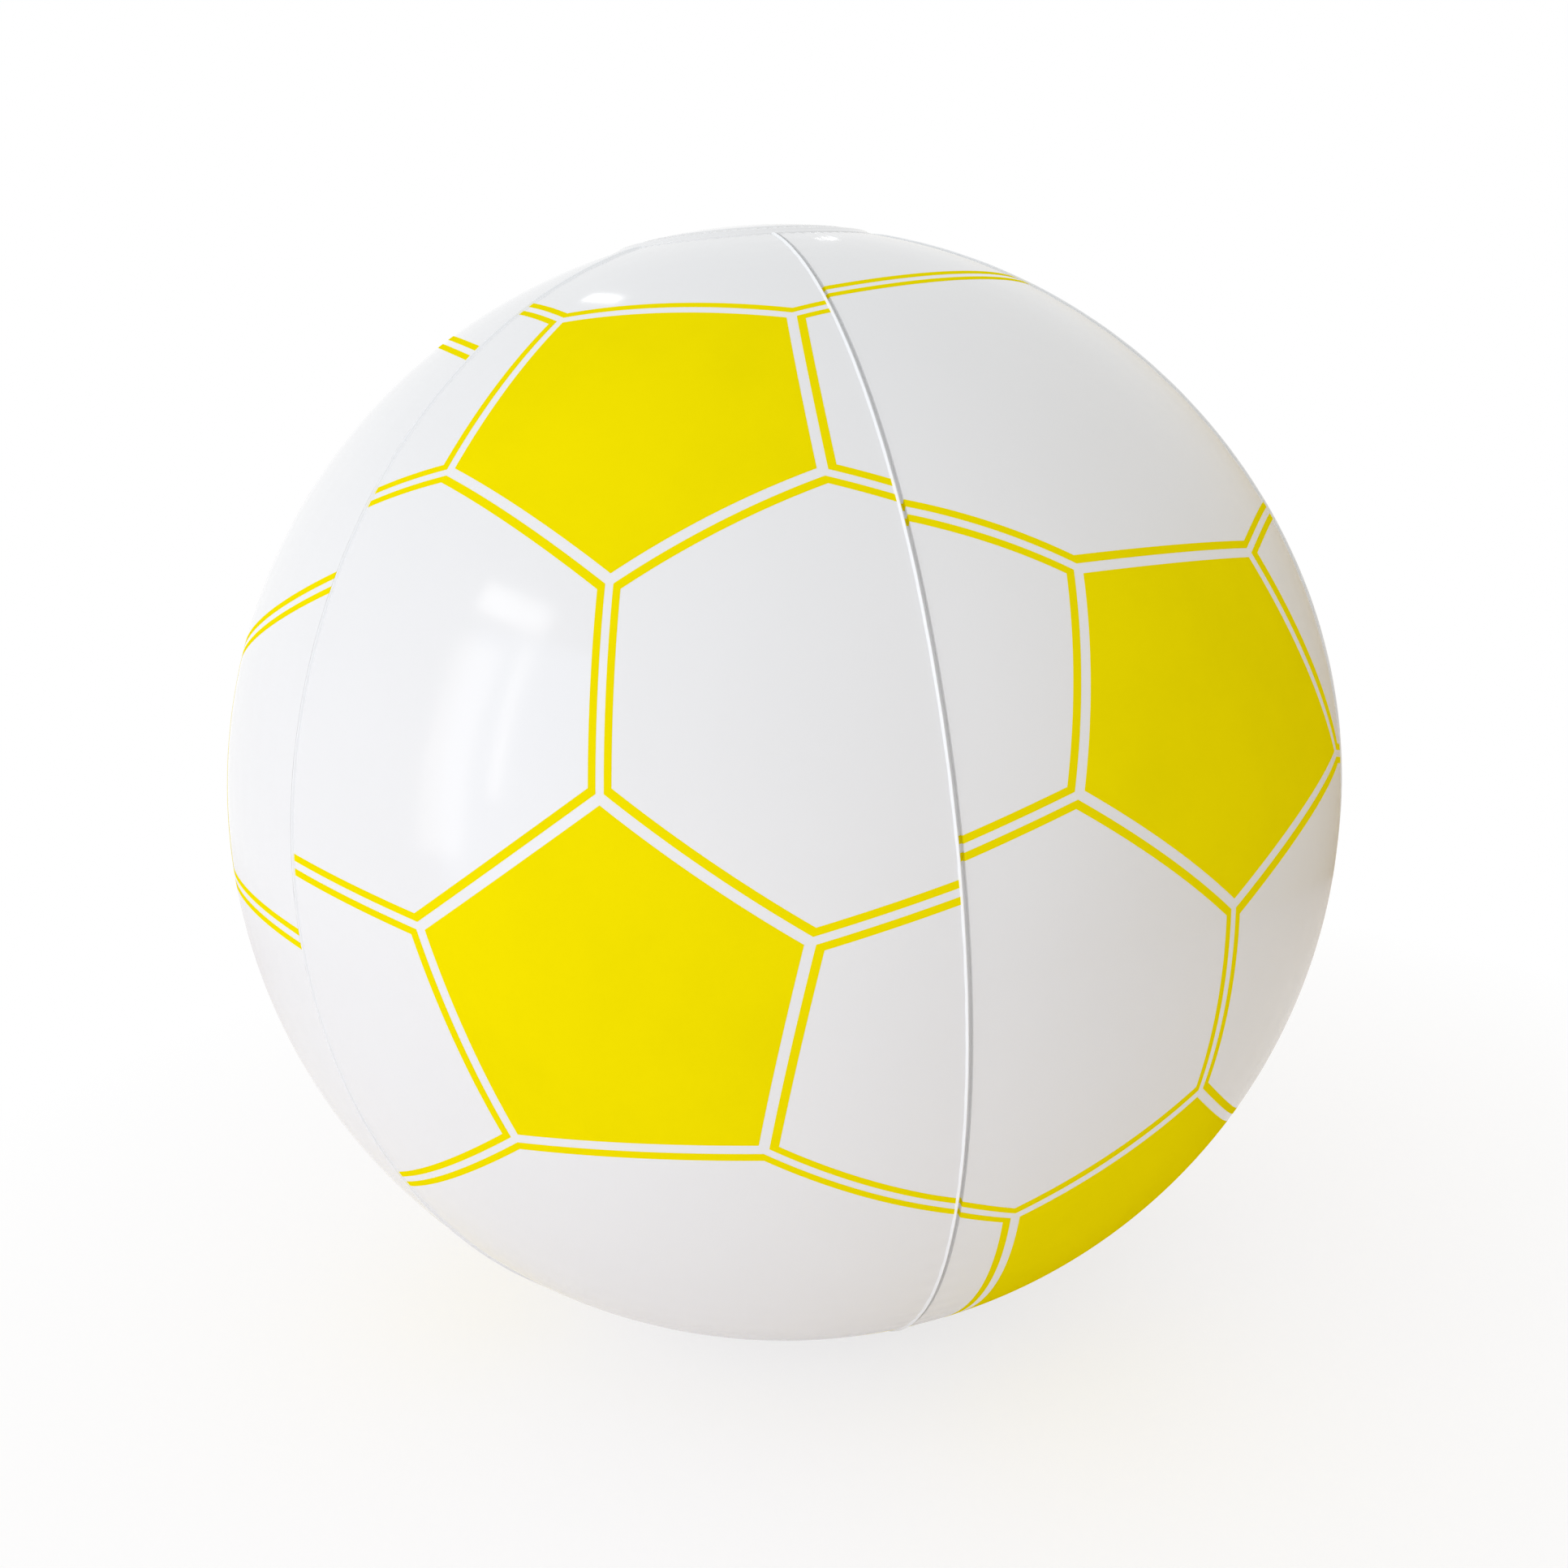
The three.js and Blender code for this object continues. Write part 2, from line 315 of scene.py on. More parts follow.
def copy_of(piece, name):
    only(piece)
    bpy.ops.object.duplicate()
    return added(name)


def remove(piece):
    bpy.data.objects.remove(piece)


def apply_modifiers(piece):
    only(piece)
    for modifier in list(piece.modifiers):
        bpy.ops.object.modifier_apply(modifier=modifier.name)


def soften(piece, width, segments=3):
    """Round the edges of a moulded piece."""
    modifier = piece.modifiers.new("Soft edges", "BEVEL")
    modifier.width = width
    modifier.segments = segments
    modifier.limit_method = "ANGLE"
    modifier.angle_limit = SMOOTH_ANGLE
    apply_modifiers(piece)


def thicken(piece, thickness, offset):
    """Give a skin its thickness. Offset is -1 for all of it inwards and 1 for all of it outwards."""
    modifier = piece.modifiers.new("Thickness", "SOLIDIFY")
    modifier.thickness = thickness
    modifier.offset = offset
    modifier.use_even_offset = False
    apply_modifiers(piece)


def combine(piece, other, operation):
    """Unite a piece with another solid, or cut that solid out of it."""
    modifier = piece.modifiers.new("Combine", "BOOLEAN")
    modifier.operation = operation
    modifier.solver = "EXACT"
    modifier.object = other
    apply_modifiers(piece)
    remove(other)


def drawn(name, points):
    """A chain of edges, drawn by extruding one vertex from point to point. It stays in edit mode."""
    only(None)
    bpy.ops.mesh.primitive_plane_add(size=MM, location=(0, 0, 0))
    piece = added(name)
    bpy.ops.object.mode_set(mode="EDIT")
    bpy.ops.mesh.merge(type="CENTER")
    bpy.ops.transform.translate(value=points[0])
    for before, after in zip(points, points[1:]):
        bpy.ops.mesh.extrude_region_move(TRANSFORM_OT_translate={"value": after - before})
    return piece


def close_up():
    """Merge what a spin laid double and turn the faces outwards."""
    bpy.ops.mesh.select_all(action="SELECT")
    bpy.ops.mesh.remove_doubles(threshold=MERGE_DISTANCE)
    bpy.ops.mesh.normals_make_consistent(inside=False)
    leave_edit()


def turned(name, profile, steps):
    """A profile of (distance from the axis, height) points in metres, turned about Z."""
    piece = drawn(name, [Vector((radius, 0, height)) for radius, height in profile])
    bpy.ops.mesh.select_all(action="SELECT")
    bpy.ops.mesh.spin(steps=steps, angle=math.tau, center=(0, 0, 0), axis=(0, 0, 1))
    close_up()
    return piece


def keep_place():
    """Keep the selected piece's place, turn and size in its mesh."""
    bpy.ops.object.transform_apply(location=True, rotation=True, scale=True)


def block(name, low, high):
    """A box between two corners."""
    only(None)
    bpy.ops.mesh.primitive_cube_add(size=1, location=(low + high) / 2, scale=high - low)
    piece = added(name)
    keep_place()
    return piece


def bar(name, radius, length, place):
    """A round bar along X."""
    only(None)
    bpy.ops.mesh.primitive_cylinder_add(
        vertices=BAR_STEPS, radius=radius, depth=length, location=place, rotation=(0, math.pi / 2, 0))
    piece = added(name)
    keep_place()
    return piece


def put(piece, place):
    """Move a finished piece to its place and keep the place in its mesh."""
    piece.matrix_world = place
    only(piece)
    keep_place()


def settle(piece, body, slot, material, *nodes):
    """Shade and paint a finished piece, tie it to its body, and hide the nodes that it stands for."""
    only(piece)
    bpy.ops.object.shade_smooth_by_angle(angle=SMOOTH_ANGLE)
    piece.data.materials.clear()
    piece.data.materials.append(material)
    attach(piece, body)
    if nodes:
        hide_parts(*nodes)


def keep_side(normal, offset):
    """Cut away all that lies behind a plane, in edit mode."""
    bpy.ops.mesh.select_all(action="SELECT")
    bpy.ops.mesh.bisect(
        plane_co=normal * offset, plane_no=normal, clear_inner=True, threshold=CUT_TOLERANCE)


def score(normal, offset):
    """Cut a row of points along a plane, in edit mode."""
    bpy.ops.mesh.select_all(action="SELECT")
    bpy.ops.mesh.bisect(plane_co=normal * offset, plane_no=normal, threshold=CUT_TOLERANCE)


def panel_place(number):
    return Matrix.Translation(BALL_CENTRE) @ Matrix.Rotation((number - 1) * PANEL_TURN, 4, "Z")


def seam_place(number):
    return Matrix.Translation(BALL_CENTRE) @ Matrix.Rotation((number - 0.5) * PANEL_TURN, 4, "Z")


def valve_place():
    """The valve's own frame: Z out of the film and Y to the upper pole."""
    up = Vector((0, 0, 1))
    to_pole = (up - VALVE_OUT * up.dot(VALVE_OUT)).normalized()
    across = to_pole.cross(VALVE_OUT)
    turn = Matrix((across, to_pole, VALVE_OUT)).transposed().to_4x4()
    return Matrix.Translation(BALL_CENTRE + VALVE_OUT * BALL_RADIUS) @ turn


def seam_normals():
    """Unit normals of the two seam planes of the front panel, pointing into it."""
    half = PANEL_TURN / 2
    return [Vector((side * math.cos(half), -math.sin(half), 0)) for side in (1, -1)]


def press_marks(piece, steps, in_ring, border, depth):
    """Press every other face of a weld ring a little deeper. in_ring tests a face's middle."""
    edit(piece)
    bpy.ops.mesh.select_mode(type="FACE")
    bpy.ops.mesh.select_all(action="DESELECT")
    mesh = bmesh.from_edit_mesh(piece.data)
    for face in mesh.faces:
        middle = face.calc_center_median()
        step = int(math.degrees(math.atan2(middle.y, middle.x)) % 360 / 360 * steps)
        face.select_set(in_ring(middle) and step % 2 == 0)
    bmesh.update_edit_mesh(piece.data)
    bpy.ops.mesh.inset(thickness=border, depth=-depth, use_individual=True)
    bpy.ops.mesh.select_mode(type="VERT")
    leave_edit()


# Shader nodes


def joined(tree, operation, first, second):
    """The result of a Math node on two sockets."""
    node = tree.nodes.new("ShaderNodeMath")
    node.operation = operation
    tree.links.new(first, node.inputs[0])
    tree.links.new(second, node.inputs[1])
    return node.outputs[0]


def faded(tree, source, start, end, low, high):
    """A number that runs from low to high while the source runs from start to end."""
    node = tree.nodes.new("ShaderNodeMapRange")
    for name, value in zip(("From Min", "From Max", "To Min", "To Max"), (start, end, low, high)):
        node.inputs[name].default_value = value
    tree.links.new(source, node.inputs["Value"])
    return node.outputs["Result"]


def camera_and_mirror_rays(tree):
    """Two sockets: 1 for rays from the camera, and 1 for glossy and transmission rays."""
    path = tree.nodes.new("ShaderNodeLightPath")
    mirror = joined(tree, "MAXIMUM", path.outputs["Is Glossy Ray"], path.outputs["Is Transmission Ray"])
    return path.outputs["Is Camera Ray"], mirror


def mix_into(tree, share, first, second, output):
    """Send two shaders to an output node, mixed by the share of the second."""
    node = tree.nodes.new("ShaderNodeMixShader")
    for source, target in zip((share, first.outputs[0], second.outputs[0]), node.inputs):
        tree.links.new(source, target)
    tree.links.new(node.outputs[0], tree.nodes[output].inputs["Surface"])


# Finishes

# Slow waves in the film, which the ink on it follows: scale and detail of their noise, and their height
WAVE_NOISE = (17, 1)
WAVE_HEIGHT = 0.08 * MM


class Finish:
    """A material with a Principled shader and the nodes that feed it."""

    NOISE_RANGE = (0.3, 0.7)  # where most of a noise lies

    def __init__(self, name):
        self.material = bpy.data.materials.new(name)
        self.material.use_nodes = True
        self.tree = self.material.node_tree
        self.shader = self.tree.nodes["Principled BSDF"]
        self.place = self.tree.nodes.new("ShaderNodeTexCoord").outputs["Object"]

    def link(self, output, target):
        self.tree.links.new(output, target)

    def mottle(self, scale, detail=2.0, roughness=0.5):
        """Soft noise over the surface."""
        node = self.tree.nodes.new("ShaderNodeTexNoise")
        node.inputs["Scale"].default_value = scale
        node.inputs["Detail"].default_value = detail
        node.inputs["Roughness"].default_value = roughness
        self.link(self.place, node.inputs["Vector"])
        return node.outputs["Fac"]

    def specks(self, scale):
        """Small round cells."""
        node = self.tree.nodes.new("ShaderNodeTexVoronoi")
        node.inputs["Scale"].default_value = scale
        self.link(self.place, node.inputs["Vector"])
        return node.outputs["Distance"]

    def shades(self, source, colour, *stops):
        """Shades of the base colour along a noise, as (position, factor) stops."""
        node = self.tree.nodes.new("ShaderNodeValToRGB")
        ramp = node.color_ramp
        for element, (position, factor) in zip(ramp.elements, (stops[0], stops[-1])):
            element.position = position
            element.color = tinted(colour, factor)
        for position, factor in stops[1:-1]:
            ramp.elements.new(position).color = tinted(colour, factor)
        self.link(source, node.inputs["Fac"])
        self.link(node.outputs["Color"], self.shader.inputs["Base Color"])

    def dull(self, source, low, high):
        """Roughness that follows a noise, from low to high."""
        self.link(faded(self.tree, source, *self.NOISE_RANGE, low, high), self.shader.inputs["Roughness"])

    def relief(self, *layers):
        """Bumps, each a (noise, height in metres)."""
        normal = None
        for source, height in layers:
            node = self.tree.nodes.new("ShaderNodeBump")
            node.inputs["Distance"].default_value = height
            self.link(source, node.inputs["Height"])
            if normal:
                self.link(normal, node.inputs["Normal"])
            normal = node.outputs["Normal"]
        self.link(normal, self.shader.inputs["Normal"])

    def gloss(self, level, index):
        self.shader.inputs["Specular IOR Level"].default_value = level
        self.shader.inputs["IOR"].default_value = index


def tinted(colour, factor):
    return (*(channel * factor for channel in colour), 1)


def film_finish(colours):
    """Glossy calendered film: faint cloudiness, a fine grain and slow waves in its gloss."""
    made = Finish("white_film")
    made.shades(made.mottle(11, 3), colours.film, (0.3, 0.982), (0.55, 1), (0.75, 1.008))
    made.dull(made.mottle(46, 4), 0.09, 0.15)
    made.relief((made.mottle(*WAVE_NOISE), WAVE_HEIGHT), (made.mottle(1500, 2), 0.0012 * MM))
    made.gloss(0.4, 1.5)
    return made.material


def ink_finish(colours):
    """Flat yellow ink on the film: a little uneven in cover, with no gloss of its own."""
    made = Finish("yellow_ink")
    made.shades(made.mottle(34, 5, 0.6), colours.ink, (0.3, 0.97), (0.55, 1), (0.8, 1.015))
    made.dull(made.mottle(60, 4), 0.24, 0.36)
    made.relief((made.mottle(*WAVE_NOISE), WAVE_HEIGHT), (made.specks(2200), 0.001 * MM))
    made.gloss(0.0, 1.45)
    return made.material


def weld_finish(colours):
    """Bare film squeezed out of a seam: half glossy, with slow ripples along it."""
    made = Finish("weld_white")
    made.shades(made.mottle(140, 3), colours.weld, (0.3, 0.97), (0.7, 1))
    made.dull(made.mottle(260, 3), 0.2, 0.32)
    made.relief((made.mottle(420, 2), 0.03 * MM))
    made.gloss(0.4, 1.5)
    return made.material


def valve_finish(colours):
    """Soft milky moulding: half gloss, light carries into it, with a fine spark-eroded grain."""
    made = Finish("valve_moulding")
    made.shades(made.mottle(180, 3), colours.valve, (0.3, 0.965), (0.7, 1))
    made.dull(made.mottle(420, 3), 0.3, 0.42)
    made.relief((made.mottle(3200, 2), 0.004 * MM))
    made.shader.inputs["Subsurface Weight"].default_value = 0.25
    made.shader.inputs["Subsurface Scale"].default_value = 1.5 * MM
    made.gloss(0.45, 1.5)
    return made.material


def finish_named(name, maker):
    """A finish that is made once and used by every piece that has it."""
    return bpy.data.materials.get(name) or maker(bpy.context.scene.beach_ball_colours)


# Film and print


def film_skin():
    """The outer face of a panel that faces -Y, round the origin, with rows of points along its seams."""
    only(None)
    bpy.ops.mesh.primitive_uv_sphere_add(
        segments=SKIN_SEGMENTS, ring_count=SKIN_RINGS, radius=BALL_RADIUS, location=(0, 0, 0))
    skin = added("film_skin")
    edit(skin)
    tip_height = math.sqrt(BALL_RADIUS**2 - TIP_RADIUS**2)
    for normal in seam_normals():
        keep_side(normal, SEAM_MARGIN)
    for side in (1, -1):
        keep_side(Vector((0, 0, side)), -tip_height)
    for normal in seam_normals():
        for row in SEAM_ROWS:
            score(normal, row * MM)
    leave_edit()
    return skin


def smooth_step(share):
    """From 0 to 1 with soft ends."""
    share = max(0, min(1, share))
    return share * share * (3 - 2 * share)


def pucker(skin, number):
    """Lift the film in puckers along the seams and gathers round the caps, and fold it beside the beads."""
    sizes = bpy.context.scene.beach_ball_sizes
    cap_angle = math.asin(sizes.cap_radius / BALL_RADIUS)
    for vertex in skin.data.vertices:
        place = vertex.co
        along = BALL_RADIUS * math.asin(max(-1, min(1, place.z / BALL_RADIUS)))
        from_cap = BALL_RADIUS * (math.acos(min(1, abs(place.z) / BALL_RADIUS)) - cap_angle)
        lift = 0.0
        dip = 0.0
        for side, normal in enumerate(seam_normals()):
            if number % 2 == 0:
                share = (GROOVE_START - normal.dot(place)) / (GROOVE_START - GROOVE_FLOOR)
                fade = GROOVE_AT_CAP + (1 - GROOVE_AT_CAP) * smooth_step(from_cap / GROOVE_FADE)
                dip += GROOVE_DEPTH * fade * smooth_step(share)
            reach = normal.dot(place) / PUCKER_PEAK
            seed = Vector((along / PUCKER_WANDER, number * PANEL_SEED + side * SIDE_SEED, 0.5))
            phase = along / PUCKER_PITCH + noise.noise(seed)
            strength = PUCKER_STRENGTH * (1 + noise.noise(seed * STRENGTH_WANDER + Vector((0, 5, 0))))
            lift += reach * math.exp(1 - reach) * strength * math.sin(math.tau * phase)
        if from_cap > 0:
            turn = math.atan2(place.x, -place.y) + number * PANEL_TURN
            wander = GATHER_WANDER * noise.noise(Vector((turn * 6, place.z * 9, 2)))
            fold = math.sin(GATHER_COUNT * turn + wander)
            lift += GATHER_HEIGHT * fold * math.exp(-from_cap / GATHER_FADE)
        vertex.co = place * (1 + (lift * sizes.pucker_height - dip) / BALL_RADIUS)
    skin.data.update()


def skin_of(number):
    """The puckered skin of one panel, facing -Y round the origin. The first one is kept to copy from."""
    master = bpy.data.objects.get("film_skin") or film_skin()
    skin = copy_of(master, f"skin_{number}")
    pucker(skin, number)
    return skin


class BEACHBALL_OT_film_panels(bpy.types.Operator):
    """Make the six film panels"""

    bl_idname = "beach_ball.film_panels"
    bl_label = "Film panels"

    def execute(self, context):
        film = finish_named("white_film", film_finish)
        for number in range(1, PANEL_COUNT + 1):
            panel = copy_of(skin_of(number), f"film_panel_{number}")
            thicken(panel, context.scene.beach_ball_sizes.film_thickness, -1)
            put(panel, panel_place(number))
            if number == VALVE_PANEL:
                radius, reach = VALVE_HOLE_RADIUS, VALVE_HOLE_REACH
                outline = [(0, -reach), (radius, -reach), (radius, reach), (0, reach)]
                hole = turned("valve_hole", outline, VALVE_STEPS)
                put(hole, valve_place())
                combine(panel, hole, "DIFFERENCE")
            settle(panel, "ball", "film_white", film, f"panel_{number}")
        return {"FINISHED"}


def direction(angles):
    """The unit vector at (degrees to the right of -Y, degrees above the horizon)."""
    across, up = (math.radians(angle) for angle in angles)
    return Vector((math.cos(up) * math.sin(across), -math.cos(up) * math.cos(across), math.sin(up)))


def slipped(corners, slip):
    return {name: (across + slip[0], up + slip[1]) for name, (across, up) in corners.items()}


def half_turned(corners):
    return {name: (-across, -up) for name, (across, up) in corners.items()}


def print_of(number):
    """The corners of one panel's print. Panels with even numbers have it half turned."""
    if number == RIGHT_PANEL:
        return RIGHT_PRINT
    if number in FRONT_SLIP:
        return slipped(FRONT_PRINT, FRONT_SLIP[number])
    corners = slipped(half_turned(FRONT_PRINT), HALF_TURN_SLIP[number])
    if number == LEFT_PANEL:
        corners.update(LEFT_PRINT_SEEN)
    return corners


def stretch(number, before, after):
    """How many times their usual width the gap and the line between two corners have."""
    for edge in ((before, after), (after, before)):
        if number == RIGHT_PANEL and edge in EDGE_STRETCH:
            return EDGE_STRETCH[edge]
        if edge in PENTAGON_EDGES:
            return PENTAGON_STRETCH
    return 1, 1


def bow(number, before, after):
    """How far the middle of an edge lies to the left of the straight way between its corners."""
    own = EDGE_BOW.get(number, {})
    for sign, edge in ((1, (before, after)), (-1, (after, before))):
        if edge in own:
            return sign * own[edge] * MM
        if edge in PENTAGON_EDGES:
            return sign * PENTAGON_BOW * MM
    return 0


def arc_plane(first, middle, last, gap, line):
    """The plane through three points of an edge, facing its left: its unit normal, its height over the
    ball's middle, and how far it rises for each unit of gap and of line."""
    normal = (middle - first).cross(last - first).normalized()
    if normal.dot(first.cross(last)) < 0:
        normal = -normal
    height = normal.dot(first)
    rise = math.sqrt(1 - height**2)
    return normal, height * BALL_RADIUS, rise * gap, rise * line


def edge_planes(number, corners, names, closed):
    """The planes of an outline's edges."""
    ends = [*names[1:], names[0]] if closed else names[1:]
    planes = []
    for before, after in zip(names, ends):
        first, last = direction(corners[before]), direction(corners[after])
        side = first.cross(last).normalized()
        middle = (first + last).normalized() + side * bow(number, before, after) / BALL_RADIUS
        planes.append(arc_plane(first, middle.normalized(), last, *stretch(number, before, after)))
    return planes


def cut_shape(skin, planes, inset, width=None):
    """The ink in an outline, from an inset inwards: all of it or, with a width, a line along its edges."""
    shape = copy_of(skin, "ink")
    edit(shape)
    for normal, height, gap, line in planes:
        keep_side(normal, height + inset * gap)
    for normal in seam_normals():
        keep_side(normal, INK_MARGIN)
    if width:
        inner_edges = [(normal, height + inset * gap + width * line) for normal, height, gap, line in planes]
        for normal, height in inner_edges:
            score(normal, height)
        mesh = bmesh.from_edit_mesh(shape.data)
        for face in mesh.faces:
            middle = face.calc_center_median()
            face.select_set(all(normal.dot(middle) > height for normal, height in inner_edges))
        bmesh.update_edit_mesh(shape.data)
        bpy.ops.mesh.delete(type="FACE")
    leave_edit()
    return shape


def print_shapes(skin, number, sizes):
    """All the ink on one panel, as thin skins."""
    corners = print_of(number)
    inset = sizes.line_gap / 2
    pentagon_inset = sizes.pentagon_gap - inset
    shapes = []
    for names in PENTAGONS:
        shapes.append(cut_shape(skin, edge_planes(number, corners, names, True), pentagon_inset))
    for names in HEXAGON_LINES:
        shapes.append(cut_shape(skin, edge_planes(number, corners, names, False), inset, sizes.line_width))
    normal, height, *rises = arc_plane(*(direction(corners[name]) for name in FAR_LINE), 1, 1)
    for side in (1, -1):
        plane = (normal * side, height * side, *rises)
        shapes.append(cut_shape(skin, [plane], inset, sizes.line_width))
    return shapes


class BEACHBALL_OT_print_ink(bpy.types.Operator):
    """Print the yellow pentagons and hexagon outlines on the panels"""

    bl_idname = "beach_ball.print_ink"
    bl_label = "Print"

    def execute(self, context):
        sizes = context.scene.beach_ball_sizes
        ink = finish_named("yellow_ink", ink_finish)
        for number in range(1, PANEL_COUNT + 1):
            skin = bpy.data.objects[f"skin_{number}"]
            shapes = print_shapes(skin, number, sizes)
            only(shapes[0])
            for shape in shapes:
                shape.select_set(True)
            bpy.ops.object.join()
            sheet = added(f"print_{number}")
            thicken(sheet, sizes.ink_height * (1 + INK_ROOT), (1 - INK_ROOT) / (1 + INK_ROOT))
            put(sheet, panel_place(number))
            settle(sheet, "ball", "print_yellow", ink)
            remove(skin)
        remove(bpy.data.objects["film_skin"])
        return {"FINISHED"}


# Seams and end caps


# Half a bead's width and its height are 1. The left foot lies on a panel with an odd number, which laps over
# its neighbour. The right flank drops into the fold beside it and ends in a ledge under the neighbour's edge.
BEAD_SECTION = (
    (-1.12, -0.1), (-1.0, 0.05), (-0.92, 0.18), (-0.84, 0.42), (-0.75, 0.7), (-0.65, 0.9), (-0.53, 1.0),
    (-0.4, 0.96), (-0.3, 0.82), (-0.22, 0.6), (-0.17, 0.3), (-0.17, -1.85), (0.35, -1.95), (0.35, -2.4),
    (-1.0, -2.4))
BEAD_UNDER_CAP = 0.2 * MM  # how far a bead's ends reach under the end caps
BEAD_SINK = 0.45  # the share of its height that a bead loses there
BEAD_SINK_REACH = 3 * MM
BEAD_SEED = 4.7
# How a bead wanders: length of a wave, share of the bead's height, way sideways, and layer of the noise
BEAD_WAVES = ((35 * MM, 0.1, 0.05 * MM, 0), (6 * MM, 0.06, 0.02 * MM, 3))


class BEACHBALL_OT_weld_beads(bpy.types.Operator):
    """Make the raised bead along each seam"""

    bl_idname = "beach_ball.weld_beads"
    bl_label = "Weld beads"

    def execute(self, context):
        sizes = context.scene.beach_ball_sizes
        weld = finish_named("weld_white", weld_finish)
        start = math.asin(sizes.cap_radius / BALL_RADIUS) - BEAD_UNDER_CAP / BALL_RADIUS
        out = Vector((0, -math.sin(start), math.cos(start)))
        points = []
        for across, height in BEAD_SECTION:
            middle = out * (BALL_RADIUS + height * sizes.bead_height)
            points.append(middle + Vector((across * sizes.bead_width / 2, 0, 0)))
        master = drawn("bead", [*points, points[0]])
        bpy.ops.mesh.select_all(action="SELECT")
        bpy.ops.mesh.remove_doubles(threshold=MERGE_DISTANCE)
        bpy.ops.mesh.select_all(action="SELECT")
        bpy.ops.mesh.spin(steps=BEAD_STEPS, angle=2 * start - math.pi, center=(0, 0, 0), axis=(1, 0, 0))
        bpy.ops.mesh.select_all(action="DESELECT")
        bpy.ops.mesh.select_mode(type="EDGE")
        bpy.ops.mesh.select_non_manifold()
        bpy.ops.mesh.fill()
        bpy.ops.mesh.select_mode(type="VERT")
        close_up()
        for number in range(1, PANEL_COUNT + 1):
            bead = copy_of(master, f"seam_bead_{number}")
            self.roughen(bead, number, start)
            side = 1 if number % 2 else -1
            put(bead, seam_place(number) @ Matrix.Diagonal((side, 1, 1, 1)))
            edit(bead)
            close_up()
            settle(bead, "ball", "weld_white", weld, f"weld_bead_{number}")
        remove(master)
        return {"FINISHED"}

    @staticmethod
    def roughen(bead, number, start):
        """Let the bead's height and line wander, as squeezed film does, and sink it under the end caps."""
        for vertex in bead.data.vertices:
            place = vertex.co
            height = place.yz.length - BALL_RADIUS
            angle = math.atan2(-place.y, place.z)
            rise = 0
            drift = 0
            for wave_length, rise_share, sideways, layer in BEAD_WAVES:
                wave = noise.noise(Vector((angle * BALL_RADIUS / wave_length, number * BEAD_SEED, layer)))
                rise += rise_share * wave
                drift += sideways * wave
            if height > 0:
                from_end = BALL_RADIUS * min(angle - start, math.pi - start - angle)
                sink = BEAD_SINK * (1 - smooth_step(from_end / BEAD_SINK_REACH))
                scale = 1 + (height / BALL_RADIUS) * (rise - sink)
                place.y *= scale
                place.z *= scale
            place.x += drift
        bead.data.update()


def cap_arc(radius, start, end, steps):
    """Points of an arc round the ball's middle, from one distance off the axis to another."""
    first, last = math.asin(start / radius), math.asin(end / radius)
    angles = [first + (last - first) * step / steps for step in range(steps + 1)]
    return [(radius * math.sin(angle), radius * math.cos(angle)) for angle in angles]


CAP_RISE = 0.8 * MM  # a cap's top above the film
CAP_SINK = 0.05 * MM  # its underside below the film's face
REST_PATCH = 16 * MM  # radius of the flat patch that the ball rests on
RING_INNER = 7 * MM  # the weld ring's edges, from the cap's rim
RING_OUTER = 3.5 * MM
RING_DEPTH = 0.18 * MM
RING_SLOPE = 0.3 * MM  # width of its sloping sides
RING_TOLERANCE = 0.05 * MM
MARK_BORDER = 0.12 * MM  # the marks in it, from the edges of their faces
MARK_DEPTH = 0.07 * MM
# A cap's edge slopes down to a thin lip: mm from its rim, and mm above the film
CAP_EDGE = 2.6 * MM
CAP_RIM = ((-2.2, 0.7), (-1.5, 0.46), (-0.9, 0.32), (-0.5, 0.26), (-0.2, 0.23), (0.0, 0.17), (0.14, 0.06))
CAP_LIP = 0.2 * MM


class BEACHBALL_OT_end_caps(bpy.types.Operator):
    """Make the round cap over each pole, with its ring of weld marks"""

    bl_idname = "beach_ball.end_caps"
    bl_label = "End caps"

    def execute(self, context):
        film = finish_named("white_film", film_finish)
        over = BALL_RADIUS + CAP_RISE
        under = BALL_RADIUS - CAP_SINK
        rim = context.scene.beach_ball_sizes.cap_radius
        inner, outer = rim - RING_INNER, rim - RING_OUTER

        def in_ring(middle):
            level = abs(middle.length - (over - RING_DEPTH)) < RING_TOLERANCE
            return level and middle.z > 0 and inner < middle.xy.length < outer

        for name, patch, turn in (("upper", 0.0, 0), ("lower", REST_PATCH, math.pi)):
            profile = []
            if patch:
                profile.append((0, math.sqrt(over**2 - patch**2)))
            profile += cap_arc(over, patch, inner - RING_SLOPE, 14)
            profile += cap_arc(over - RING_DEPTH, inner, outer, 3)
            profile += cap_arc(over, outer + RING_SLOPE, rim - CAP_EDGE, 2)
            for across, rise in CAP_RIM:
                profile.append(cap_arc(BALL_RADIUS + rise * MM, rim + across * MM, rim, 1)[0])
            profile += cap_arc(under, rim + CAP_LIP, patch + MM, 12)
            profile.append((0, profile[-1][1] if patch else under))
            cap = turned(f"pole_cap_{name}", profile, CAP_STEPS)
            press_marks(cap, CAP_STEPS, in_ring, MARK_BORDER, MARK_DEPTH)
            put(cap, Matrix.Translation(BALL_CENTRE) @ Matrix.Rotation(turn, 4, "X"))
            settle(cap, "ball", "film_white", film, f"end_cap_{name}")
        return {"FINISHED"}


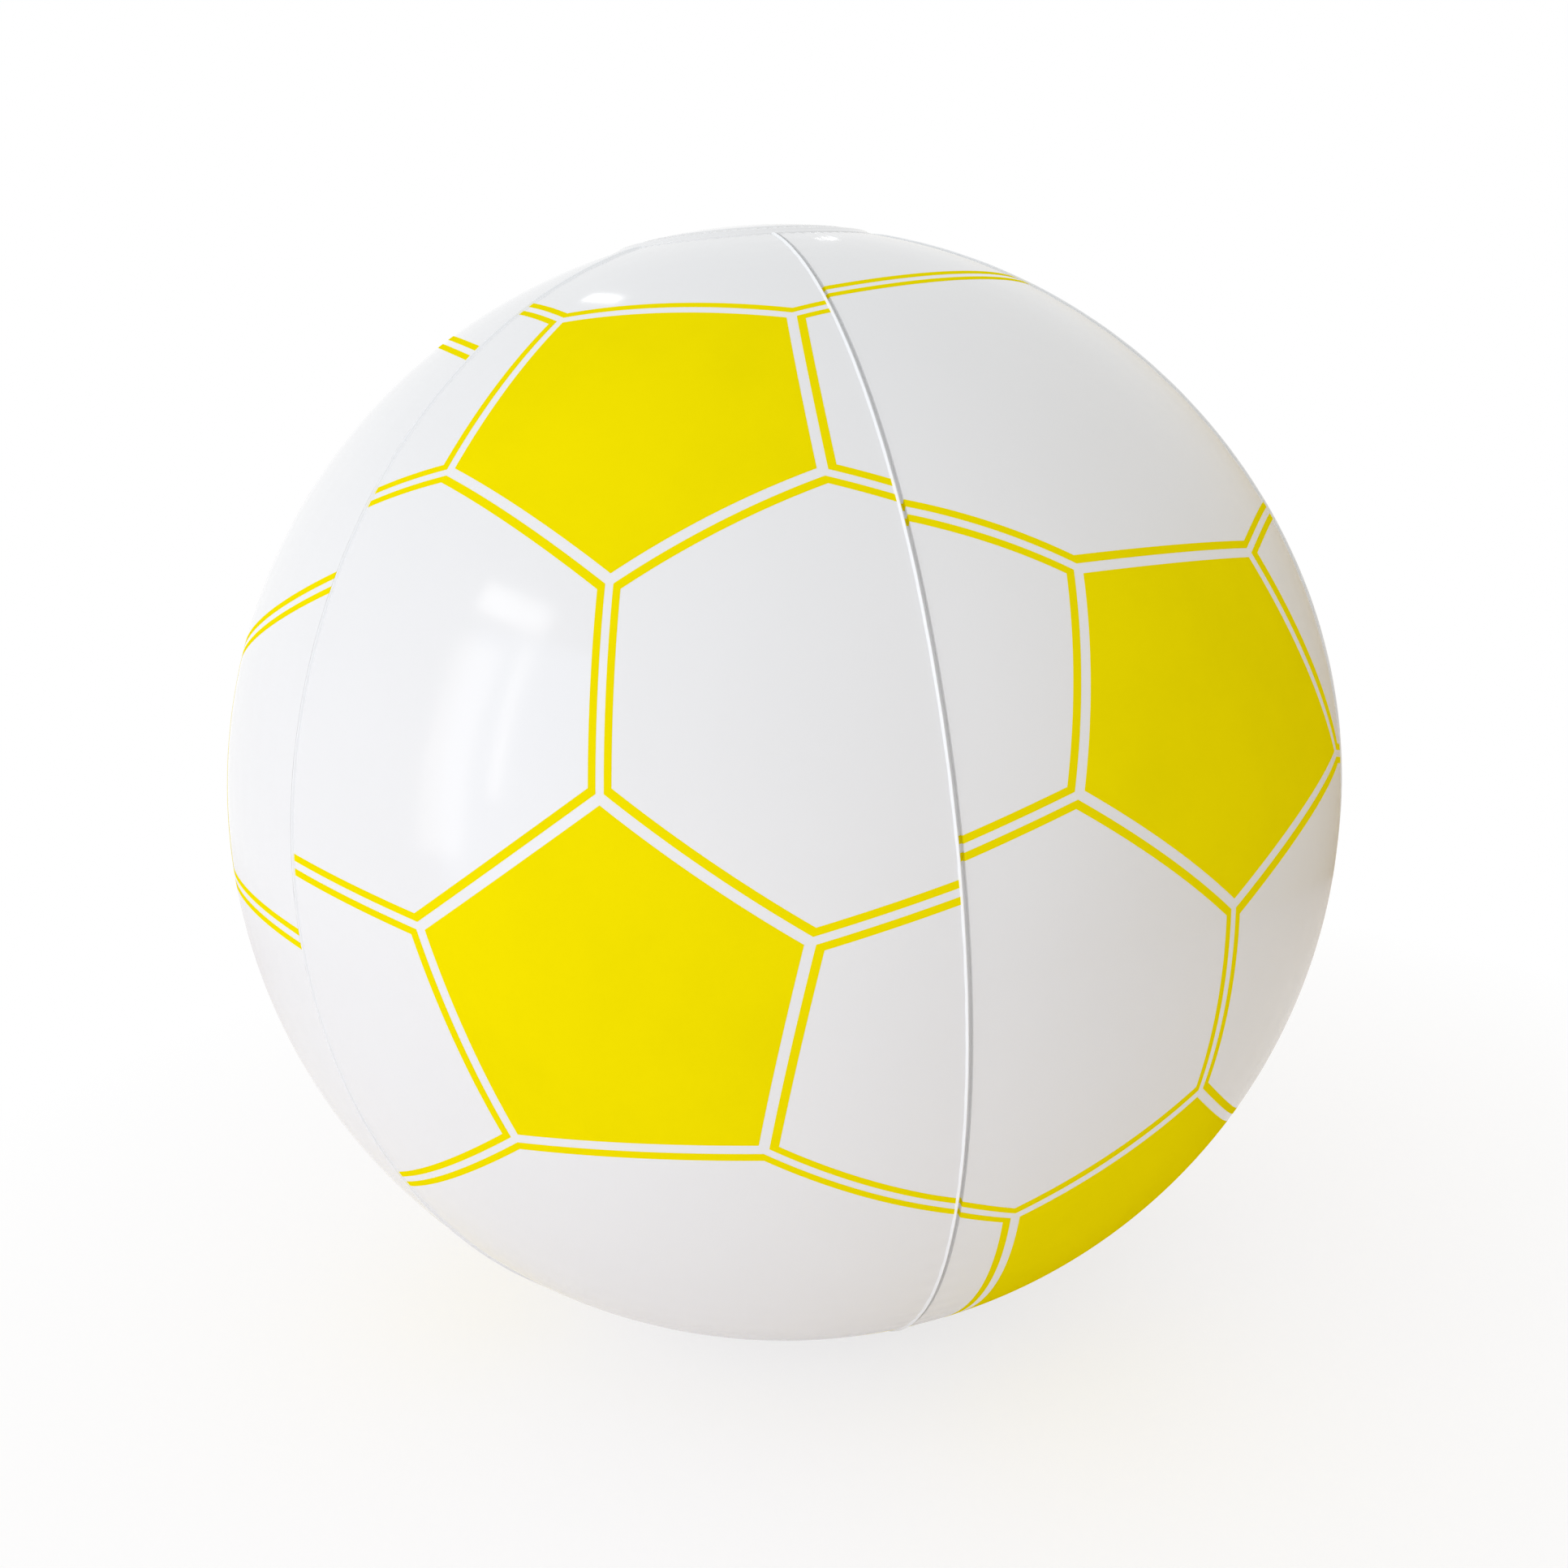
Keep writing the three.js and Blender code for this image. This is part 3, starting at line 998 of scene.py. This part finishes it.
# Valve. Sizes in its own frame, in millimetres, where 0 is the film's outer face on the valve's axis.
COLLAR_BORE = 5.3
COLLAR_RADIUS = 6.9
COLLAR_TOP = 1.127
COLLAR_FOOT = -6.0
FLANGE_BORE = 6.8
FLANGE_RADIUS = 12.5
FLANGE_RISE = 1.3
FLANGE_SINK = -0.1
FLANGE_RING_INNER = 9.4
FLANGE_RING_OUTER = 11.4
FLANGE_RING_RISE = 0.95
FLANGE_RING_SLOPE = 0.2
FLANGE_MARK_BORDER = 0.06
FLANGE_MARK_DEPTH = 0.12
STEM_RADIUS = 5.0
STEM_BORE = 3.0
RIM_RADIUS = 6.6
RIM_BOTTOM = 1.427
RIM_TOP = 2.227
FOOT_TOP = -15.3
FOOT_BOTTOM = -16.5
MOUTH_SLOPE = 0.6
RIB_LEVELS = (-10.0, -6.5, -3.0)
RIB_RISE = 0.18
RIB_HALF = 0.5
PLUG_RADIUS = 6.0
PLUG_BOTTOM = 2.527
PLUG_TOP = 4.027
PIN_TIP = -0.97
DISH_BOTTOM = PLUG_TOP - 0.45
# From the pin's tip past its sealing bulge, round the head and into the dish in its top
PLUG_PROFILE = (
    (0, PIN_TIP), (1.7, PIN_TIP), (2.2, PIN_TIP + 0.6), (2.45, 0.6), (2.68, 0.9), (2.68, 1.5), (2.6, 1.8),
    (2.65, PLUG_BOTTOM), (PLUG_RADIUS, PLUG_BOTTOM), (PLUG_RADIUS, PLUG_TOP), (4.6, PLUG_TOP),
    (4.2, DISH_BOTTOM), (0, DISH_BOTTOM))
TAB_START = 3.5
TAB_END = 10.0
TAB_HALF = 2.5
TAB_TOP = PLUG_BOTTOM + 1
TAB_CORNER = 2.2
RIDGE_PLACES = (6.9, 7.9, 8.9)
RIDGE_RADIUS = 0.32
RIDGE_HALF = 1.8
STRAP_HALF = 2.0
STRAP_TOP = 3.227
STRAP_ROOT = 0.5  # the strap reaches this far into the plug's head
HINGE_REACH = 9.1
HINGE_HEIGHT = 2.377
FOLD_RADIUS = 0.9
FOLD_HALF = 1.9
TONGUE_GAP = 0.3  # the stem's tongue stops this far from the hinge's axis
FLAP_TOP = -16.8
FLAP_BOTTOM = -17.2
FLAP_RADIUS = 4.4
FLAP_DIMPLE = 0.1
FLAP_HINGE_HEIGHT = -16.65
FLAP_HINGE_RADIUS = 0.16
FLAP_HINGE_LENGTH = 2.4
FLAP_HINGE_INSET = 0.05


def scaled(profile):
    """A profile in millimetres as metres. One that doesn't start on the axis is closed by its first point."""
    closing = [profile[0]] if profile[0][0] else []
    return [(radius * MM, height * MM) for radius, height in [*profile, *closing]]


def corner(x, y, z):
    return Vector((x, y, z)) * MM


def film_level(reach, above):
    """Height over the valve's origin of a point that far off its axis and above the film, in mm."""
    radius = BALL_RADIUS / MM
    return math.sqrt((radius + above) ** 2 - reach**2) - radius


def fit_moulding(piece, body, node):
    """Move a piece of the valve to its place and settle it there."""
    put(piece, valve_place())
    settle(piece, body, "valve_moulding", finish_named("valve_moulding", valve_finish), node)


class BEACHBALL_OT_valve_seat(bpy.types.Operator):
    """Make the valve's welded flange and the collar in it"""

    bl_idname = "beach_ball.valve_seat"
    bl_label = "Valve seat"

    def execute(self, context):
        inner, outer = FLANGE_RING_INNER + FLANGE_RING_SLOPE, FLANGE_RING_OUTER - FLANGE_RING_SLOPE
        levels = [
            (FLANGE_BORE, FLANGE_SINK), (FLANGE_RADIUS, FLANGE_SINK), (FLANGE_RADIUS, 0.45),
            (FLANGE_RADIUS - 0.35, FLANGE_RISE - 0.2), (FLANGE_RADIUS - 0.7, FLANGE_RISE),
            (FLANGE_RING_OUTER, FLANGE_RISE), (outer, FLANGE_RING_RISE), (inner, FLANGE_RING_RISE),
            (FLANGE_RING_INNER, FLANGE_RISE), (FLANGE_BORE, FLANGE_RISE)]

        def in_ring(middle):
            reach = middle.xy.length / MM
            height = middle.z / MM - film_level(reach, FLANGE_RING_RISE)
            return abs(height) < RING_TOLERANCE / MM and inner < reach < outer

        flange = turned(
            "flange", scaled([(reach, film_level(reach, above)) for reach, above in levels]), VALVE_STEPS)
        press_marks(flange, VALVE_STEPS, in_ring, FLANGE_MARK_BORDER * MM, FLANGE_MARK_DEPTH * MM)
        fit_moulding(flange, "ball", "valve_flange")
        collar = turned("collar", scaled([
            (COLLAR_BORE, COLLAR_FOOT), (COLLAR_RADIUS, COLLAR_FOOT), (COLLAR_RADIUS, COLLAR_TOP),
            (COLLAR_BORE, COLLAR_TOP)]), VALVE_STEPS)
        soften(collar, 0.2 * MM)
        fit_moulding(collar, "ball", "valve_collar")
        return {"FINISHED"}


class BEACHBALL_OT_valve_stem(bpy.types.Operator):
    """Make the valve's sliding stem with its rim, ribs, foot and tongue"""

    bl_idname = "beach_ball.valve_stem"
    bl_label = "Valve stem"

    def execute(self, context):
        profile = [
            (STEM_BORE, FOOT_BOTTOM), (RIM_RADIUS, FOOT_BOTTOM), (RIM_RADIUS, FOOT_TOP),
            (STEM_RADIUS, FOOT_TOP)]
        for height in RIB_LEVELS:
            profile += [
                (STEM_RADIUS, height - RIB_HALF), (STEM_RADIUS + RIB_RISE, height - RIB_HALF / 2),
                (STEM_RADIUS + RIB_RISE, height + RIB_HALF / 2), (STEM_RADIUS, height + RIB_HALF)]
        profile += [
            (STEM_RADIUS, RIM_BOTTOM), (RIM_RADIUS, RIM_BOTTOM), (RIM_RADIUS, RIM_TOP),
            (STEM_BORE + MOUTH_SLOPE, RIM_TOP), (STEM_BORE, RIM_TOP - MOUTH_SLOPE)]
        stem = turned("stem", scaled(profile), VALVE_STEPS)
        soften(stem, 0.14 * MM)
        tongue = block(
            "tongue", corner(-STRAP_HALF, TONGUE_GAP - HINGE_REACH, RIM_BOTTOM),
            corner(STRAP_HALF, -STEM_RADIUS, RIM_TOP))
        soften(tongue, 0.14 * MM)
        combine(stem, tongue, "UNION")
        fit_moulding(stem, "stem", "valve_stem")
        return {"FINISHED"}


class BEACHBALL_OT_valve_plug(bpy.types.Operator):
    """Make the plug with its pin and grip tab, and the strap with its fold"""

    bl_idname = "beach_ball.valve_plug"
    bl_label = "Valve plug"

    def execute(self, context):
        plug = turned("plug", scaled(PLUG_PROFILE), VALVE_STEPS)
        soften(plug, 0.22 * MM)
        combine(plug, self.tab(), "UNION")
        fit_moulding(plug, "plug", "valve_plug")
        strap = block(
            "strap", corner(-STRAP_HALF, -HINGE_REACH, PLUG_BOTTOM),
            corner(STRAP_HALF, STRAP_ROOT - PLUG_RADIUS, STRAP_TOP))
        soften(strap, 0.14 * MM)
        fold = bar("fold", FOLD_RADIUS * MM, 2 * FOLD_HALF * MM, corner(0, -HINGE_REACH, HINGE_HEIGHT))
        soften(fold, 0.2 * MM)
        combine(strap, fold, "UNION")
        fit_moulding(strap, "plug", "valve_strap")
        return {"FINISHED"}

    @staticmethod
    def tab():
        """The grip tab, rounded at its end, with three ridges across it."""
        tab = block("tab", corner(-TAB_HALF, TAB_START, PLUG_BOTTOM), corner(TAB_HALF, TAB_END, TAB_TOP))
        edit(tab)
        bpy.ops.mesh.select_all(action="DESELECT")
        mesh = bmesh.from_edit_mesh(tab.data)
        for line in mesh.edges:
            first, second = (vertex.co for vertex in line.verts)
            upright = (first - second).xy.length < MERGE_DISTANCE
            line.select_set(upright and first.y > (TAB_START + TAB_END) / 2 * MM)
        bmesh.update_edit_mesh(tab.data)
        bpy.ops.mesh.bevel(offset=TAB_CORNER * MM, segments=8, affect="EDGES")
        leave_edit()
        soften(tab, 0.2 * MM)
        for reach in RIDGE_PLACES:
            ridge = bar("ridge", RIDGE_RADIUS * MM, 2 * RIDGE_HALF * MM, corner(0, reach, TAB_TOP))
            soften(ridge, 0.12 * MM)
            combine(tab, ridge, "UNION")
        return tab


class BEACHBALL_OT_valve_flap(bpy.types.Operator):
    """Make the check flap under the stem"""

    bl_idname = "beach_ball.valve_flap"
    bl_label = "Valve flap"

    def execute(self, context):
        flap = turned("flap", scaled([
            (0, FLAP_BOTTOM + FLAP_DIMPLE), (2.6, FLAP_BOTTOM + FLAP_DIMPLE), (3.0, FLAP_BOTTOM),
            (FLAP_RADIUS, FLAP_BOTTOM), (FLAP_RADIUS, FLAP_TOP), (0, FLAP_TOP)]), VALVE_STEPS)
        soften(flap, 0.08 * MM)
        hinge = bar(
            "hinge", FLAP_HINGE_RADIUS * MM, FLAP_HINGE_LENGTH * MM,
            corner(0, FLAP_HINGE_INSET - FLAP_RADIUS, FLAP_HINGE_HEIGHT))
        combine(flap, hinge, "UNION")
        fit_moulding(flap, "flap", "valve_flap")
        return {"FINISHED"}


# Stage


def aimed(piece, place, target):
    piece.location = place
    piece.rotation_euler = (Vector(target) - Vector(place)).to_track_quat("-Z", "Y").to_euler()


class BEACHBALL_OT_stage(bpy.types.Operator):
    """Make the floor, the soft light and the camera"""

    bl_idname = "beach_ball.stage"
    bl_label = "Stage"

    # A window in parts, two lamps behind and a soft fill: name, azimuth, elevation, width, height,
    # brightness, colour, and whether the film mirrors it
    SOFT_BOXES = (
        ("window_pane", -33, 15, 0.86, 1.2, 1.2, (0.68, 0.81, 1.0), True),
        ("window_side", -47.4, 16, 0.28, 0.95, 1.6, (1.0, 0.93, 0.86), True),
        ("window_top", -44, 39, 0.43, 0.13, 3.6, (1.0, 0.97, 0.93), True),
        ("window_bar", -36.5, 22, 0.06, 0.7, 3.4, (1.0, 0.93, 0.86), True),
        ("back_lamp", -141.5, 47, 0.04, 0.2, 4.2, (1.0, 1.0, 1.0), True),
        ("back_spot", -170, 30, 0.03, 0.04, 3.0, (1.0, 1.0, 1.0), True),
        ("front_fill", -14, 5, 1.2, 0.55, 0.72, (1.0, 0.87, 0.76), False),
    )
    LAMP_DISTANCE = 1.6
    ROOM_COLOUR = (0.98, 0.995, 1.008, 1)
    ROOM_LEVEL = 0.785
    FLOOR_COLOUR = (0.97, 0.925, 0.92, 1)
    # The floor turns white with the distance from the ball: start and end in metres, and the shares of white
    # there. What the film mirrors of it has no white at the card's foot.
    FLOOR_IN_PICTURE = (0.08, 0.36, 0.72, 1.0)
    FLOOR_IN_MIRROR_NEAR = (0.25, 0.42, 0.4, 0.0)
    FLOOR_IN_MIRROR_FAR = (0.42, 0.8, 0.0, 1.0)
    # A warm grey card stands bent round the ball's right side, and thins out to its sides and its top
    CARD_START = 46  # azimuth in degrees
    CARD_END = 204
    CARD_SIDE_FADE = 32
    CARD_DISTANCE = 0.42
    CARD_HEIGHT = 0.46
    CARD_TOP_FADE = 0.26
    CARD_STEPS = 48
    CARD_ROWS = 16
    CARD_COLOUR = (0.77, 0.69, 0.54, 1)

    def execute(self, context):
        scene = context.scene
        scene.view_settings.view_transform = "Standard"
        self.world(scene)
        self.floor()
        self.card()
        for name, azimuth, elevation, width, height, brightness, colour, mirrored in self.SOFT_BOXES:
            bpy.ops.object.light_add(type="AREA")
            lamp = context.object
            lamp.name = name
            lamp.data.shape = "RECTANGLE"
            lamp.data.size = width
            lamp.data.size_y = height
            lamp.data.energy = brightness * math.pi * width * height
            lamp.data.color = colour
            lamp.visible_glossy = mirrored
            aimed(lamp, BALL_CENTRE + direction((azimuth, elevation)) * self.LAMP_DISTANCE, BALL_CENTRE)
        self.camera(scene)
        return {"FINISHED"}

    def world(self, scene):
        """An even room light, with a white background."""
        world = bpy.data.worlds.new("Studio")
        scene.world = world
        world.use_nodes = True
        tree = world.node_tree
        room = tree.nodes["Background"]
        room.inputs["Color"].default_value = self.ROOM_COLOUR
        room.inputs["Strength"].default_value = self.ROOM_LEVEL
        white = tree.nodes.new("ShaderNodeBackground")
        white.inputs["Color"].default_value = WHITE
        direct = joined(tree, "MAXIMUM", *camera_and_mirror_rays(tree))
        mix_into(tree, direct, room, white, "World Output")

    def floor(self):
        """A pale floor that turns to the background's white away from the ball and keeps its shadow."""
        only(None)
        bpy.ops.mesh.primitive_plane_add(size=FLOOR_SIZE, location=(0, 0, 0))
        floor = added("floor")
        material = bpy.data.materials.new("pale_floor")
        material.use_nodes = True
        tree = material.node_tree
        tree.nodes.remove(tree.nodes["Principled BSDF"])
        paint = tree.nodes.new("ShaderNodeBsdfDiffuse")
        paint.inputs["Color"].default_value = self.FLOOR_COLOUR
        white = tree.nodes.new("ShaderNodeEmission")
        white.inputs["Color"].default_value = WHITE
        place = tree.nodes.new("ShaderNodeTexCoord")
        distance = tree.nodes.new("ShaderNodeVectorMath")
        distance.operation = "LENGTH"
        tree.links.new(place.outputs["Object"], distance.inputs[0])
        reach = distance.outputs["Value"]
        in_picture = faded(tree, reach, *self.FLOOR_IN_PICTURE)
        near = faded(tree, reach, *self.FLOOR_IN_MIRROR_NEAR)
        far = faded(tree, reach, *self.FLOOR_IN_MIRROR_FAR)
        camera, mirror = camera_and_mirror_rays(tree)
        seen = joined(tree, "MULTIPLY", camera, in_picture)
        mirrored = joined(tree, "MULTIPLY", mirror, joined(tree, "MAXIMUM", near, far))
        mix_into(tree, joined(tree, "ADD", seen, mirrored), paint, white, "Material Output")
        floor.data.materials.append(material)

    def card(self):
        """The grey card, which lights and shades the ball and isn't in the picture itself."""
        foot = direction((self.CARD_START, 0)) * self.CARD_DISTANCE
        heights = [self.CARD_HEIGHT * row / self.CARD_ROWS for row in range(self.CARD_ROWS + 1)]
        card = drawn("grey_card", [foot + Vector((0, 0, height)) for height in heights])
        bpy.ops.mesh.select_all(action="SELECT")
        bpy.ops.mesh.spin(
            steps=self.CARD_STEPS, angle=math.radians(self.CARD_START - self.CARD_END), center=(0, 0, 0),
            axis=(0, 0, 1))
        leave_edit()
        card.visible_camera = False
        cover = card.data.attributes.new("cover", "FLOAT", "POINT")
        for vertex, share in zip(card.data.vertices, cover.data):
            share.value = self.card_cover(vertex.co)
        made = Finish("grey_card")
        made.shader.inputs["Base Color"].default_value = self.CARD_COLOUR
        made.gloss(0.0, 1.45)
        density = made.tree.nodes.new("ShaderNodeAttribute")
        density.attribute_name = "cover"
        clear = made.tree.nodes.new("ShaderNodeBsdfTransparent")
        mix_into(made.tree, density.outputs["Fac"], clear, made.shader, "Material Output")
        card.data.materials.append(made.material)

    def card_cover(self, place):
        """How dense the card is at a place, from 0 at its sides and top to 1."""
        azimuth = math.degrees(math.atan2(place.x, -place.y)) % 360
        from_side = min(azimuth - self.CARD_START, self.CARD_END - azimuth)
        from_top = self.CARD_HEIGHT - place.z
        return smooth_step(from_side / self.CARD_SIDE_FADE) * smooth_step(from_top / self.CARD_TOP_FADE)

    def camera(self, scene):
        """The camera where the photograph was taken from."""
        bpy.ops.object.camera_add()
        camera = bpy.context.object
        camera.name = "camera"
        camera.data.lens = CAMERA_LENS
        camera.data.sensor_width = CAMERA_SENSOR
        camera.data.clip_start = CAMERA_CLIP
        around = Matrix.Rotation(CAMERA_AZIMUTH, 4, "Z")
        over = Matrix.Rotation(math.pi / 2 - CAMERA_ELEVATION, 4, "X")
        roll = Matrix.Rotation(-CAMERA_ROLL, 4, "Z")
        back = Matrix.Translation(Vector((0, 0, CAMERA_DISTANCE)))
        camera.matrix_world = Matrix.Translation(BALL_CENTRE) @ around @ over @ roll @ back
        scene.camera = camera


class BEACHBALL_PT_build(bpy.types.Panel):
    """Sizes, colours and steps of the beach ball"""

    bl_idname = "BEACHBALL_PT_build"
    bl_label = "Beach Ball"
    bl_space_type = "VIEW_3D"
    bl_region_type = "UI"
    bl_category = "Beach Ball"

    def draw(self, context):
        layout = self.layout
        for group in (context.scene.beach_ball_sizes, context.scene.beach_ball_colours):
            box = layout.box()
            for name in group.__annotations__:
                box.prop(group, name)
        for step in STEPS:
            layout.operator(step.bl_idname)


STEPS = (
    BEACHBALL_OT_film_panels,
    BEACHBALL_OT_print_ink,
    BEACHBALL_OT_weld_beads,
    BEACHBALL_OT_end_caps,
    BEACHBALL_OT_valve_seat,
    BEACHBALL_OT_valve_stem,
    BEACHBALL_OT_valve_plug,
    BEACHBALL_OT_valve_flap,
    BEACHBALL_OT_stage,
)
CLASSES = (BeachBallSizes, BeachBallColours, *STEPS, BEACHBALL_PT_build)


def register():
    for item in CLASSES:
        bpy.utils.register_class(item)
    bpy.types.Scene.beach_ball_sizes = bpy.props.PointerProperty(type=BeachBallSizes)
    bpy.types.Scene.beach_ball_colours = bpy.props.PointerProperty(type=BeachBallColours)


def unregister():
    del bpy.types.Scene.beach_ball_colours
    del bpy.types.Scene.beach_ball_sizes
    for item in reversed(CLASSES):
        bpy.utils.unregister_class(item)


def main():
    register()
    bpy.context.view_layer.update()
    bpy.ops.beach_ball.film_panels()
    bpy.ops.beach_ball.print_ink()
    bpy.ops.beach_ball.weld_beads()
    bpy.ops.beach_ball.end_caps()
    bpy.ops.beach_ball.valve_seat()
    bpy.ops.beach_ball.valve_stem()
    bpy.ops.beach_ball.valve_plug()
    bpy.ops.beach_ball.valve_flap()
    bpy.ops.beach_ball.stage()
    only(None)


if __name__ == "__main__":
    main()
